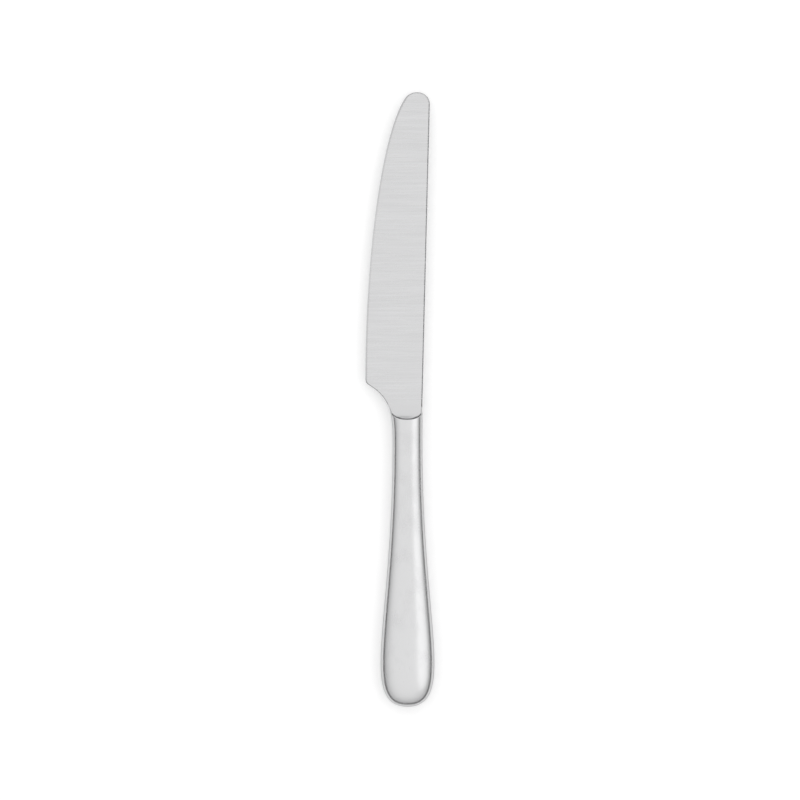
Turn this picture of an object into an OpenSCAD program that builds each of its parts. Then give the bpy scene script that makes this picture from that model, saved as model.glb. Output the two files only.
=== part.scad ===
// Hollow-handled dessert knife, lying level with its tip towards +Y and its cutting edge towards -X.
// A forged blade with bolster and tang stands in a handle of two pressed halves, which are brazed
// along the seam, soldered to the bolster and filled with cement. Millimetres, +Z up.

/* [Handle] */
// Length of the handle, from the butt to the lowest point of the joint with the bolster
handle_length = 96.4; // [88:0.2:106]
// Width of the handle at its widest, near the butt
butt_width = 18.08; // [15:0.02:20]
// Thickness of the handle at the same place
butt_thickness = 8.6; // [7.4:0.1:10]
// Distance of the widest place from the end of the butt
butt_at = 14.5; // [12:0.5:18]
// Width of the neck, where the handle is slimmest
neck_width = 10.04; // [9.2:0.02:11]
// Thickness of the neck
neck_thickness = 6.4; // [5.8:0.1:7]
// Distance of the neck behind the joint, which is also the length of the spigot
neck_back = 8.4; // [7.4:0.2:9.4]
// Roundness of the handle's sections: 2 is an ellipse, more is squarer
section_power = 2.3; // [2:0.1:2.8]
// Wall of the pressed halves
shell_wall = 0.8; // [0.6:0.05:1]

/* [Joints] */
// Height of the brazed seam between the two halves
seam_gap = 0.12; // [0.08:0.01:0.2]
// Thickness of the solder between the handle's mouth and the bolster
solder_gap = 0.14; // [0.1:0.01:0.2]
// Clearance round the spigot, which the solder fills
spigot_gap = 0.15; // [0.1:0.01:0.25]
// How far the ends of the U-shaped joint run forward along the sides
mouth_depth = 3; // [2.4:0.1:3.4]

/* [Bolster] */
// Width of the rim in front of the joint
rim_width = 0.5; // [0.45:0.05:0.7]
// Width of the bevel on the back edge of the rim, which shows the joint as a line
groove_width = 0.44; // [0.3:0.02:0.44]
// Depth of that bevel, down to the solder
groove_depth = 0.38; // [0.25:0.01:0.45]
// Radius of the hollow that runs from the rim down to the blade
hollow_radius = 8.5; // [5:0.25:10]

/* [Blade] */
// Length of the blade in front of the joint
blade_length = 109.6; // [100:0.2:120]
// How far the heel stands out below the neck
heel_drop = 9.1; // [7.5:0.1:10.5]
// Distance from the joint to the start of the cutting edge
heel_at = 13.8; // [13:0.2:15]
// Outward lean of the spine, in degrees
spine_lean = 1.42; // [1:0.02:1.8]
// Radius of the tip on the spine's side
tip_radius = 4; // [3.4:0.1:4.6]
// Thickness of the spine at the bolster
spine_thickness = 2.2; // [2:0.05:2.6]
// Thickness behind the cutting edge at the heel
edge_thickness = 0.8; // [0.7:0.05:1]
// Thickness of the spine near the tip
tip_thickness = 1.5; // [1.3:0.05:1.7]
// Width of the ground bevel along the cutting edge
bevel_width = 0.6; // [0.5:0.05:1]
// Thickness left at the cutting edge itself
edge_flat = 0.2; // [0.14:0.02:0.3]
// Width and depth of the chamfers along the spine
spine_chamfer = 0.4; // [0.2:0.02:0.5]
// Width and depth of the chamfers along the choil
choil_chamfer = 0.24; // [0.14:0.02:0.28]

/* [Tang] */
// Length of the tang behind the spigot
tang_length = 46; // [38:1:50]
// Width of the tang at the spigot
tang_width = 6.4; // [5.6:0.1:6.8]
// Width of the tang at its end
tang_end_width = 4.4; // [4:0.1:5]
// Thickness of the tang
tang_thickness = 2.6; // [2:0.1:3]
// Pairs of round notches that key the tang into the cement
notch_pairs = 3; // [2:1:4]

/* [Hidden] */

// Facets round half of a section, and along each stretch of the knife
arc_steps = 20;
butt_steps = 10;
waist_steps = 16;
mouth_steps = 3;
hollow_steps = 8;
choil_steps = 10;
heel_steps = 4;
belly_steps = 22;
nose_steps = 8;

// Stations along the knife, counted from the end of the butt
neck_at = handle_length - neck_back;
heel_end = handle_length + heel_at;
overall = handle_length + blade_length;
rim_end = handle_length + mouth_depth + rim_width;

// Half sizes
butt_half = butt_width / 2;
neck_half = neck_width / 2;
neck_deep = neck_thickness / 2;
seam_half = seam_gap / 2;
heel_x = -neck_half - heel_drop;
spigot_inset = shell_wall + spigot_gap;
bend = 2 / section_power;

// Shape of the handle's rail: fullness of the butt, and reach of the curves as shares of each stretch
butt_fullness = 0.8;
butt_reach = 0.39;
waist_reach = 0.19;
neck_reach = 0.49;
butt_flat = 0.03;

// The choil sweeps from the neck to the heel, whose corner is rounded
choil_reach = 9.2;
choil_turn = [7.1, -4.6];
heel_round = [1.82, -2.8];
heel_pull = 0.85;

// The belly runs from the heel to the nose, and the nose to the top of the tip
belly_reach = 0.423;
nose_reach = 14.7;
nose_angle = 57;
nose_back = [3.9, 2.1];
nose_pull = 0.62;
tip_flat = 0.5;

// The spine leaves the side of the neck this far in front of the joint, and its round tip has this centre
spine_start = 5.3;
spine_from = handle_length + spine_start;
tip_low = overall - tip_radius;
tip_x = neck_half + (tip_low - spine_from) * tan(spine_lean) - tip_radius;

// The plate starts inside the bolster, a little narrower than it
plate_overlap = 0.05;
plate_back = rim_end + plate_overlap;
plate_tuck = 0.08;
tuck_run = 2.5;
hollow_sink = 0.06;
side_run = 0.5;
bevel_limit = 0.25;
run_on = 1.3;

// Slopes of the blade's flat sides, across and along
grind = (spine_thickness - edge_thickness) / 2 / (neck_half - heel_x);
taper = (spine_thickness - tip_thickness) / 2 / blade_length;
flank_block = [6 * neck_width, 3 * blade_length, neck_width];

// The tang starts inside the spigot, and its notches stand between these shares of its length
tang_overlap = 4;
tang_corner = 1.2;
notch_radius = 0.8;
notch_facets = 24;
notch_from = 0.25;
notch_to = 0.85;

// The origin is under the middle of the knife's box
home = [-(butt_half + heel_x) / 2, -overall / 2, butt_thickness / 2 + seam_half];

// Point at share u of the cubic curve with control points p
function cubic(p, u) =
  let (v = 1 - u)
  v * v * v * p[0] + 3 * v * v * u * p[1] + 3 * v * u * u * p[2] + u * u * u * p[3];

// Share of curve p at which its station, the second coordinate, reaches s
function share_at(p, s, low = 0, high = 1, turns = 26) =
  let (mid = (low + high) / 2)
  turns == 0 ? mid
  : cubic(p, mid)[1] < s ? share_at(p, s, mid, high, turns - 1)
  : share_at(p, s, low, mid, turns - 1);

function blend(a, b, u) = a + (b - a) * u;

// Rail of the handle as [half width, station, half thickness], moved inwards by an inset
function butt_curve(inset) =
  let (
    w = butt_half - inset,
    t = butt_thickness / 2 - inset,
    shoulder = inset + butt_reach * (butt_at - inset)
  )
  [
    [0, inset, 0],
    [butt_fullness * w, inset, butt_fullness * t],
    [w, shoulder, t],
    [w, butt_at, t]
  ];

function waist_curve(inset) =
  let (
    w = [butt_half - inset, neck_half - inset],
    t = [butt_thickness / 2 - inset, neck_deep - inset],
    run = neck_at - butt_at
  )
  [
    [w[0], butt_at, t[0]],
    [w[0], butt_at + waist_reach * run, t[0]],
    [w[1], neck_at - neck_reach * run, t[1]],
    [w[1], neck_at, t[1]]
  ];

// Side of the choil, from the neck to the rounded heel
heel_start = [heel_x + heel_round[0], heel_end + heel_round[1]];
choil_curve = [
  [-neck_half, neck_at],
  [-neck_half, neck_at + choil_reach],
  heel_start + choil_turn,
  heel_start
];
heel_turn = [heel_x, heel_start[1] - heel_round[0] * choil_turn[1] / choil_turn[0]];
heel_curve = [
  heel_start,
  blend(heel_start, heel_turn, heel_pull),
  blend([heel_x, heel_end], heel_turn, heel_pull),
  [heel_x, heel_end]
];

// Cutting edge, and the nose that closes it to the top of the tip
nose_end = [tip_x - tip_flat, overall];
nose_start = nose_end - nose_back;
belly_curve = [
  [heel_x, heel_end],
  [heel_x, heel_end + belly_reach * (nose_start[1] - heel_end)],
  nose_start - nose_reach * [cos(nose_angle), sin(nose_angle)],
  nose_start
];
nose_corner = [nose_start[0] + nose_back[1] / tan(nose_angle), overall];
nose_curve = [
  nose_start,
  blend(nose_start, nose_corner, nose_pull),
  blend(nose_end, nose_corner, nose_pull),
  nose_end
];

// Sides of the outline in front of the neck
function edge_side(s) = cubic(choil_curve, share_at(choil_curve, s))[0];
function spine_side(s) =
  s < spine_from ? neck_half
  : s < tip_low ? neck_half + (s - spine_from) * tan(spine_lean)
  : tip_x + sqrt(max(0, tip_radius * tip_radius - (s - tip_low) * (s - tip_low)));

// Half thickness of the blade between its flat sides
function flank(x, s) = spine_thickness / 2 - grind * (neck_half - x) - taper * (s - handle_length);

// Point of the upper half of a section at angle a, counted from the spine's side
function section_point(s, middle, w, t, a) =
  [
    middle + w * sign(cos(a)) * pow(abs(cos(a)), bend),
    s,
    seam_half + t * pow(abs(sin(a)), bend)
  ];

// The same in front of the neck, where the section follows both sides of the outline
function front_point(s, inset, a) =
  let (
    low = edge_side(s),
    high = spine_side(s),
    w = (high - low) / 2 * (1 - inset / neck_half)
  )
  section_point(s, (low + high) / 2, w, neck_deep - inset, a);

// Station of the U-shaped joint at angle a, cut straight down through the wall
function mouth_at(inset, a) =
  let (across = (1 - inset / neck_half) * pow(abs(cos(a)), bend))
  handle_length + mouth_depth * (1 - sqrt(max(0, 1 - pow(across, section_power))));

// Point between the neck and the joint: share 0 at the neck, 1 at the joint less a gap
function mouth_point(inset, share, gap, a) =
  front_point(blend(neck_at, mouth_at(inset, a) - gap, share), inset, a);

angles = [for (i = [0:arc_steps]) 180 * i / arc_steps];

// Upper half-rings of the handle, from the butt to the neck
function rail_ring(p, u, s) = [for (a = angles) section_point(s, 0, cubic(p, u)[0], cubic(p, u)[2], a)];
function back_rings(inset) =
  let (butt = butt_curve(inset), waist = waist_curve(inset))
  concat(
    [rail_ring(butt, butt_flat, inset)],
    [for (k = [1:butt_steps]) rail_ring(butt, k / butt_steps, cubic(butt, k / butt_steps)[1])],
    [for (k = [1:waist_steps]) rail_ring(waist, k / waist_steps, cubic(waist, k / waist_steps)[1])]
  );

// Upper half-rings from the neck to the joint
function mouth_ring(inset, share, gap) = [for (a = angles) mouth_point(inset, share, gap, a)];
function shell_rings(inset) =
  concat(back_rings(inset), [for (k = [1:mouth_steps]) mouth_ring(inset, k / mouth_steps, solder_gap)]);

// Whole ring from an upper half: the lower half is its mirror image
function flip(p) = [p[0], p[1], -p[2]];
function whole(half) = concat(half, [for (i = [len(half) - 1:-1:0]) flip(half[i])]);

// Two triangles for the corners of a patch, and the patches between neighbouring rings of m points
function patch(a, b, c, d) = [[a, b, c], [a, c, d]];
function side_faces(count, m, joined) =
  [
    for (k = [0:count - (joined ? 1 : 2)]) for (i = [0:m - 1])
      let (j = (i + 1) % m, n = (k + 1) % count)
      each patch(k * m + i, k * m + j, n * m + j, n * m + i)
  ];

// Rungs between the two halves of a ring that starts at index first
function rungs(first, m, over) =
  [
    for (i = [0:m / 2 - 2])
      let (q = [first + i, first + i + 1, first + m - 2 - i, first + m - 1 - i])
      each (over ? patch(q[0], q[1], q[2], q[3]) : patch(q[3], q[2], q[1], q[0]))
  ];

// Solid through rings of points, closed across both ends or joined end to end
module loft(rings, joined = false) {
  m = len(rings[0]);
  count = len(rings);
  ends = joined ? [] : concat(rungs(0, m, false), rungs((count - 1) * m, m, true));
  polyhedron([for (ring = rings) each ring], concat(side_faces(count, m, joined), ends));
}

// Pressed half of the handle: outer and inner skin, the rim on the seam, the mouth and the closed butt
module half_shell() {
  outer = shell_rings(0);
  inner = shell_rings(shell_wall);
  m = arc_steps + 1;
  count = len(outer);
  deep = count * m;
  last = (count - 1) * m;
  skins = [
    for (k = [0:count - 2]) for (i = [0:arc_steps - 1])
      let (o = k * m + i, n = deep + k * m + i)
      each concat(patch(o, o + 1, o + m + 1, o + m), patch(n, n + m, n + m + 1, n + 1))
  ];
  rims = [
    for (k = [0:count - 2])
      let (o = k * m, n = deep + k * m, e = arc_steps)
      each concat(patch(o, o + m, n + m, n), patch(o + e, n + e, n + m + e, o + m + e))
  ];
  mouth = [
    for (i = [0:arc_steps - 1])
      each patch(last + i, last + i + 1, deep + last + i + 1, deep + last + i)
  ];
  butt = concat(
    [for (i = [1:arc_steps - 1]) [0, i + 1, i]],
    [for (i = [1:arc_steps - 1]) [deep, deep + i, deep + i + 1]],
    patch(0, deep, deep + arc_steps, arc_steps)
  );
  polyhedron(
    concat([for (ring = outer) each ring], [for (ring = inner) each ring]),
    concat(skins, rims, mouth, butt)
  );
}

module upper_handle_shell() {
  color("silver")
    translate(home)
      half_shell();
}

module lower_handle_shell() {
  color("silver")
    translate(home)
      mirror([0, 0, 1])
        half_shell();
}

// Ribbon between the rims, from the mouth on the spine's side round the butt to the other side
module seam_braze() {
  outer = shell_rings(0);
  inner = shell_rings(shell_wall);
  count = len(outer);
  spine_stops = [for (k = [count - 1:-1:0]) [outer[k][0], inner[k][0]]];
  edge_stops = [for (k = [0:count - 1]) [outer[k][arc_steps], inner[k][arc_steps]]];
  color("darkgoldenrod")
    translate(home)
      loft([for (stop = concat(spine_stops, edge_stops)) [stop[0], stop[1], flip(stop[1]), flip(stop[0])]]);
}

// One cut through the solder at angle a: a flange at the foot of the groove and a sleeve round the spigot
function solder_cut(a) =
  concat(
    [mouth_point(groove_depth, 1, solder_gap, a), mouth_point(groove_depth, 1, 0, a)],
    [for (k = [mouth_steps:-1:0]) mouth_point(spigot_inset, k / mouth_steps, 0, a)],
    [for (k = [0:mouth_steps]) mouth_point(shell_wall, k / mouth_steps, solder_gap, a)]
  );

module mouth_solder() {
  upper = [for (a = angles) solder_cut(a)];
  lower = [for (i = [arc_steps:-1:0]) [for (p = upper[i]) flip(p)]];
  color("lightgray")
    translate(home)
      loft(concat(upper, lower), joined = true);
}

// The cement takes the shape of the hollow and of the tang in it
module tang_cement() {
  color("gainsboro")
    translate(home)
      difference() {
        loft([for (half = back_rings(shell_wall)) whole(half)]);
        tang();
      }
}

// Flat bar from the spigot back into the handle, with notches along both sides
module tang() {
  tang_end = neck_at - tang_length;
  difference() {
    translate([0, 0, -tang_thickness / 2])
      linear_extrude(tang_thickness)
        polygon([
          [tang_width / 2, neck_at + tang_overlap],
          [-tang_width / 2, neck_at + tang_overlap],
          [-tang_width / 2, neck_at],
          [-tang_end_width / 2, tang_end + tang_corner],
          [-tang_end_width / 2 + tang_corner, tang_end],
          [tang_end_width / 2 - tang_corner, tang_end],
          [tang_end_width / 2, tang_end + tang_corner],
          [tang_width / 2, neck_at]
        ]);
    for (k = [0:notch_pairs - 1])
      for (side = [-1, 1])
        notch(blend(notch_from, notch_to, k / (notch_pairs - 1)), side);
  }
}

// Round notch at a share of the tang's length, on one side
module notch(share, side) {
  translate([side * blend(tang_width, tang_end_width, share) / 2, neck_at - share * tang_length, 0])
    cylinder(h = 2 * tang_thickness, r = notch_radius, center = true, $fn = notch_facets);
}

// Spigot, joint face, bevelled rim and hollow of the bolster as one form
module bolster() {
  spigot = [for (k = [0:mouth_steps]) mouth_ring(spigot_inset, k / mouth_steps, 0)];
  groove = [mouth_ring(groove_depth, 1, 0), mouth_ring(0, 1, -groove_width)];
  hollow = [for (k = [0:hollow_steps]) [for (a = angles) hollow_point(a, k / hollow_steps)]];
  loft([for (half = concat(spigot, groove, hollow)) whole(half)]);
}

// Point of the hollow at angle a: share 0 on the rim's front edge, 1 at its foot in the blade
function hollow_point(a, share) =
  let (
    rim = front_point(mouth_at(0, a) + rim_width, 0, a),
    drop = max(0, rim[2] - flank(rim[0], rim[1]) + hollow_sink),
    steep = acos(1 - drop / hollow_radius),
    turn = steep * (1 - share),
    run = max(hollow_radius * (sin(steep) - sin(turn)), side_run * share)
  )
  [rim[0], rim[1] + run, rim[2] - hollow_radius * (cos(turn) - cos(steep))];

// Outline of the edge side as [x, station, sharpness], blunt on the choil and sharp from the heel on
choil_from = share_at(choil_curve, plate_back);
edge_line = concat(
  [for (k = [0:choil_steps]) concat(cubic(choil_curve, blend(choil_from, 1, k / choil_steps)), [0])],
  [for (k = [1:heel_steps]) concat(cubic(heel_curve, k / heel_steps), [k / heel_steps])],
  [for (k = [1:belly_steps]) concat(cubic(belly_curve, k / belly_steps), [1])],
  [for (k = [1:nose_steps]) concat(cubic(nose_curve, k / nose_steps), [1])]
);

// Upper half of a cut across the blade, from the spine to the cutting edge
// The chamfer and the bevel run on past the flat side, which is cut afterwards
function blade_half(p) =
  let (
    s = p[1],
    tuck = plate_tuck * max(0, 1 - (s - plate_back) / tuck_run),
    low = p[0] + tuck,
    high = spine_side(s) - tuck,
    limit = bevel_limit * (high - low),
    chamfer = min(spine_chamfer, limit),
    bevel = min(blend(choil_chamfer, bevel_width, p[2]), limit),
    spine = flank(high, s) - spine_chamfer,
    edge = blend(flank(low, s) - choil_chamfer, edge_flat / 2, p[2])
  )
  [
    [high, s, spine],
    [high - run_on * chamfer, s, blend(spine, flank(high - chamfer, s), run_on)],
    [low + run_on * bevel, s, blend(edge, flank(low + bevel, s), run_on)],
    [low, s, edge]
  ];

// Everything above the blade's upper flat side
module above_flank() {
  translate([neck_half, handle_length, spine_thickness / 2])
    rotate([-asin(taper / norm([grind, taper, 1])), -atan(grind), 0])
      translate([-flank_block[0] / 2, -flank_block[1] / 2, 0])
        cube(flank_block);
}

module plate() {
  difference() {
    loft([for (p = edge_line) whole(blade_half(p))]);
    above_flank();
    mirror([0, 0, 1])
      above_flank();
  }
}

module blade() {
  color("gainsboro")
    translate(home)
      union() {
        plate();
        bolster();
        tang();
      }
}

blade();
upper_handle_shell();
lower_handle_shell();
seam_braze();
mouth_solder();
tang_cement();
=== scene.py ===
# %% [markdown]
# # A dessert knife with a hollow handle
#
# The knife has one forging, which is blade, bolster and tang, and a handle of two pressed halves.
# The solids of the knife are loaded first and stay where they are. Every visible piece is then
# remade with smooth surfaces in the same place, so that polished steel can show clean reflections.

import math

import bmesh
import bpy
import numpy as np
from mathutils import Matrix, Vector
from mathutils.geometry import tessellate_polygon


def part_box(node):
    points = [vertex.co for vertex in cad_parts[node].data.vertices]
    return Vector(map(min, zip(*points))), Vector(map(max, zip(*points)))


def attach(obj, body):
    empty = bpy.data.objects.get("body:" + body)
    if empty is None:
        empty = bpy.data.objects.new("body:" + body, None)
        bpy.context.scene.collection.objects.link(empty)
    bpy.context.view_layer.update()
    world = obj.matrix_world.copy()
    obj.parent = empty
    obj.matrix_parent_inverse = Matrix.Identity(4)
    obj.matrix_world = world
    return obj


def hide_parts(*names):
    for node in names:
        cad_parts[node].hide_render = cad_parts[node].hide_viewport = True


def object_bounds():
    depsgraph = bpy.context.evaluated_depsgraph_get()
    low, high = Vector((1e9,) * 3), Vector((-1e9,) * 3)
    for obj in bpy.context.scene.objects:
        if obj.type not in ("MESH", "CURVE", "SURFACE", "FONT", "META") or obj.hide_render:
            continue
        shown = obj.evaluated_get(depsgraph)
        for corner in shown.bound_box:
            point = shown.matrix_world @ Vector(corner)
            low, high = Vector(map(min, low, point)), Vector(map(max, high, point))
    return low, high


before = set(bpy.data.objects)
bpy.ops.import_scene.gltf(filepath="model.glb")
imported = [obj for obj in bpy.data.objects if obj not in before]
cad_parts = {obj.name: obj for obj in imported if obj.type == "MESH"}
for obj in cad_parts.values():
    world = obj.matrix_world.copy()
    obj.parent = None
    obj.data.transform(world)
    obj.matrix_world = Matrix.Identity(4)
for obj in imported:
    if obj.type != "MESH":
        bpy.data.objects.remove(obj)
cad_low, cad_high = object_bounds()
MM = 0.001
print("nodes:", sorted(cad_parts))
print("box in mm:", [round((b - a) / MM, 2) for a, b in zip(cad_low, cad_high)])

# %% [markdown]
# ## Sizes
#
# A knife is best described by its own stations: the distance s from the butt towards the tip, and
# the distance x from the handle's axis, with the spine on the positive side. The boxes of the
# solids give most sizes. A box can't show how wide the neck is, or how deep the U of the joint,
# its gap for solder and its groove are, so these few are given as numbers.

# %% Sizes read from the solids, in millimetres
shell_low, shell_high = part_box("upper_handle_shell")
solder_low, solder_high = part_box("mouth_solder")
blade_low, blade_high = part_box("blade")

axis_x = (shell_low.x + shell_high.x) / 2
butt_y = shell_low.y
middle_z = (cad_low.z + cad_high.z) / 2
home = Vector((axis_x, butt_y, middle_z))

butt_half = (shell_high.x - shell_low.x) / 2 / MM
butt_deep = (shell_high.z - shell_low.z) / MM
seam_half = (shell_low.z - middle_z) / MM
overall = (blade_high.y - butt_y) / MM
heel_x = (blade_low.x - axis_x) / MM
tang_end = (blade_low.y - butt_y) / MM
print("butt half width and depth:", round(butt_half, 2), round(butt_deep, 2))
print("heel at x", round(heel_x, 2), "tip at s", round(overall, 2), "tang from", round(tang_end, 2))

# %% Neck and joint, in millimetres
neck_half = 5.02
joint_depth, joint_gap = 3.0, 0.14
groove_wide, groove_deep = 0.44, 0.38

neck_deep = (solder_high.z - middle_z) / MM - seam_half + groove_deep
neck_at = (solder_low.y - butt_y) / MM
horn_at = (shell_high.y - butt_y) / MM + joint_gap
joint_at = horn_at - joint_depth
print("neck half width and depth:", neck_half, round(neck_deep, 2), "at", round(neck_at, 2))
print("joint from", round(joint_at, 2), "to", round(horn_at, 2))

# %% [markdown]
# ## Curves of the outline
#
# The edge side of the outline leaves the neck in a sweep called the choil, turns round the heel and
# runs along the belly to the nose. Each stretch is one cubic curve. The spine is a straight line
# that leans out a little and ends in an arc.

# %% A cubic curve and a round corner
def cubic(p0, p1, p2, p3, u):
    v = 1 - u
    return v * v * v * p0 + 3 * v * v * u * p1 + 3 * v * u * u * p2 + u * u * u * p3


def curve(points, count):
    u = np.linspace(0, 1, count)[:, None]
    return cubic(*[np.array(p, float) for p in points], u)


def round_corner(first, peak, last, pull, count):
    """A curve from first to last that is pulled towards the peak of the corner."""
    return curve([first, first + pull * (peak - first), last + pull * (peak - last), last], count)


# %% Choil and heel
CHOIL_POINTS, HEEL_POINTS = 200, 80
choil_reach = 9.2
choil_turn = np.array([7.1, -4.6])
heel_turn = np.array([1.82, -2.8])
heel_pull = 0.85

heel_end = joint_at + 13.8
heel_last = np.array([heel_x, heel_end])
heel_start = heel_last + heel_turn
heel_corner = np.array([heel_x, heel_start[1] - heel_turn[0] * choil_turn[1] / choil_turn[0]])
choil_start = np.array([-neck_half, neck_at])
choil = curve(
    [choil_start, choil_start + (0, choil_reach), heel_start + choil_turn, heel_start],
    CHOIL_POINTS)
heel = round_corner(heel_start, heel_corner, heel_last, heel_pull, HEEL_POINTS)
print("choil up to s", round(heel_start[1], 1), "and heel up to s", round(heel_end, 1))

# %% Spine and tip
TIP_POINTS = 121
tip_radius = 4.0
spine_from = joint_at + 5.3
spine_slope = math.tan(math.radians(1.42))
nose_offset = 0.5

tip_low = overall - tip_radius
tip_x = neck_half + (tip_low - spine_from) * spine_slope - tip_radius
tip_turn = np.linspace(0, np.pi / 2, TIP_POINTS)[:, None]
tip_round = np.concatenate([np.cos(tip_turn), np.sin(tip_turn)], 1)
tip_arc = np.array([tip_x, tip_low]) + tip_radius * tip_round
nose_end = np.array([tip_x - nose_offset, overall])
spine_line = np.concatenate([[(neck_half, neck_at), (neck_half, spine_from)], tip_arc, [nose_end]])
print("points of the spine:", len(spine_line), "with the tip's centre at x", round(tip_x, 2))

# %% Belly and nose
BELLY_POINTS, NOSE_POINTS = 300, 120
nose_turn = np.array([3.9, 2.1])
nose_angle = math.radians(57)
nose_pull, nose_reach = 0.62, 14.7
belly_share = 0.423

nose_start = nose_end - nose_turn
nose_way = np.array([math.cos(nose_angle), math.sin(nose_angle)])
nose_corner = np.array([nose_start[0] + nose_turn[1] / math.tan(nose_angle), overall])
belly_reach = belly_share * (nose_start[1] - heel_end)
belly = curve(
    [heel_last, heel_last + (0, belly_reach), nose_start - nose_reach * nose_way, nose_start],
    BELLY_POINTS)
nose = round_corner(nose_start, nose_corner, nose_end, nose_pull, NOSE_POINTS)
edge_line = np.concatenate([choil, heel[1:], belly[1:], nose[1:]])


def edge_side(s):
    return np.interp(s, edge_line[:, 1], edge_line[:, 0])


def spine_side(s):
    return np.interp(s, spine_line[:, 1], spine_line[:, 0])


print("points of the edge side:", len(edge_line), "up to s", round(edge_line[-1, 1], 1))

# %% [markdown]
# ## Node sums written as formulas
#
# The handle follows a rule, so Geometry Nodes can make it. Its rule is a long sum, and a chain of
# Math nodes is hard to read in a script. The small class below stands for one number in a node
# tree: adding or multiplying two of them adds a Math node, so the rule can be written as it is on
# paper. The finishes and the light use it too.

# %% A number in a node tree
def feed(tree, value, place):
    """Give a socket its value: a number of the tree is linked, and a plain number is set."""
    if isinstance(value, Num):
        tree.links.new(value.socket, place)
    else:
        place.default_value = value


def math_node(tree, kind, *values):
    node = tree.nodes.new("ShaderNodeMath")
    node.operation = kind
    for place, value in zip(node.inputs, values):
        feed(tree, value, place)
    return Num(tree, node.outputs[0])


class Num:
    def __init__(self, tree, socket):
        self.tree, self.socket = tree, socket

    def op(self, kind, *others):
        return math_node(self.tree, kind, self, *others)

    def clamp(self):
        return self.op("MAXIMUM", 0.0).op("MINIMUM", 1.0)

    def __add__(self, other):
        return self.op("ADD", other)

    def __sub__(self, other):
        return self.op("SUBTRACT", other)

    def __rsub__(self, other):
        return math_node(self.tree, "SUBTRACT", other, self)

    def __mul__(self, other):
        return self.op("MULTIPLY", other)

    def __truediv__(self, other):
        return self.op("DIVIDE", other)

    def __pow__(self, other):
        return self.op("POWER", other)

    __radd__ = __add__
    __rmul__ = __mul__


# %% [markdown]
# ## The rule of the handle
#
# Every point of the handle follows from where it lies along the handle, its angle round the section
# and how deep it is in the wall. Along the handle, one cubic curve makes the round butt and another
# the waist, and both carry width and thickness together. Round the section, a power a little above
# two makes an ellipse with flatter sides. In front of the neck the section follows the choil, and
# its end is cut to the U-shaped joint. All pieces of the handle share this one node group.

# %% Inputs of the rule
butt_at = 14.5
butt_fullness, butt_reach = 0.8, 0.39
waist_reach, neck_reach = 0.19, 0.49
section_power = 2.3
bend = 2 / section_power

SIZES = {
    "Butt half width": butt_half, "Butt half depth": butt_deep, "Butt at": butt_at,
    "Neck half width": neck_half, "Neck half depth": neck_deep, "Neck at": neck_at,
    "Joint at": joint_at, "Joint depth": joint_depth, "Seam half height": seam_half,
}
PLACES = ["Butt share", "Waist share", "Mouth share", "Angle", "Inset", "Back off"]


def add_input(tree, name, kind="NodeSocketFloat"):
    return tree.interface.new_socket(name, in_out="INPUT", socket_type=kind)


def given(tree):
    node = tree.nodes.new("NodeGroupInput")
    return {s.name: Num(tree, s) for s in node.outputs if s.name}


print("inputs of the rule:", len(PLACES), "places and", len(SIZES), "sizes")

# %% The choil beside the neck
FLARE_STEPS = 3


def flare_of(ahead):
    """How far the choil stands out at a distance ahead of the neck.

    The choil is a cubic curve, so a few of Newton's steps find the share of it that lies there.
    """
    reach = choil_reach * MM
    turn = (heel_start[1] + choil_turn[1] - neck_at) * MM
    last = (heel_start[1] - neck_at) * MM
    c1, c2, c3 = 3 * reach, 3 * turn - 6 * reach, last - 3 * turn + 3 * reach
    share = ahead / c1
    for _ in range(FLARE_STEPS):
        miss = share * (c1 + share * (c2 + share * c3)) - ahead
        share = share - miss / (c1 + share * (2 * c2 + share * (3 * c3)))
    out_turn = (-neck_half - heel_start[0] - choil_turn[0]) * MM
    out_last = (-neck_half - heel_start[0]) * MM
    return share * share * (3 * out_turn + share * (out_last - 3 * out_turn))


# %% The node group
def make_rule():
    tree = bpy.data.node_groups.new("handle_rule", "GeometryNodeTree")
    for name in [*PLACES, *SIZES]:
        add_input(tree, name)
    tree.interface.new_socket("Point", in_out="OUTPUT", socket_type="NodeSocketVector")
    get = given(tree)
    inset, at, neck = get["Inset"], get["Butt at"], get["Neck at"]
    u, v = get["Butt share"], get["Waist share"]
    w0, t0 = get["Butt half width"] - inset, get["Butt half depth"] - inset
    w1, t1 = get["Neck half width"] - inset, get["Neck half depth"] - inset
    run = neck - at
    half = cubic(0.0, w0 * butt_fullness, w0, w0, u) + cubic(w0, w0, w1, w1, v) - w0
    deep = cubic(0.0, t0 * butt_fullness, t0, t0, u) + cubic(t0, t0, t1, t1, v) - t0
    shoulder = inset + (at - inset) * butt_reach
    station = cubic(inset, inset, shoulder, at, u) - at
    station = station + cubic(at, at + run * waist_reach, neck - run * neck_reach, neck, v)
    side = get["Angle"].op("COSINE")
    width_share = side.op("ABSOLUTE") ** bend
    depth_share = get["Angle"].op("SINE").op("ABSOLUTE") ** bend
    inner = 1.0 - inset / get["Neck half width"]
    dip = (1.0 - (inner * width_share) ** section_power).op("MAXIMUM", 0.0).op("SQRT")
    joint = get["Joint at"] + get["Joint depth"] * (1.0 - dip)
    station = station + get["Mouth share"] * (joint - get["Back off"] - neck)
    half_flare = flare_of((station - neck).op("MAXIMUM", 0.0)) * 0.5
    across = side.op("SIGN") * width_share * (half + half_flare * inner) - half_flare
    rise = get["Seam half height"] + deep * depth_share
    point = tree.nodes.new("ShaderNodeCombineXYZ")
    for socket, value in zip(point.inputs, (across, station, rise)):
        feed(tree, value, socket)
    end = tree.nodes.new("NodeGroupOutput")
    tree.links.new(point.outputs[0], end.inputs["Point"])
    print("rule of the handle:", len(tree.nodes), "nodes")
    return tree


handle_rule = make_rule()

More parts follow.
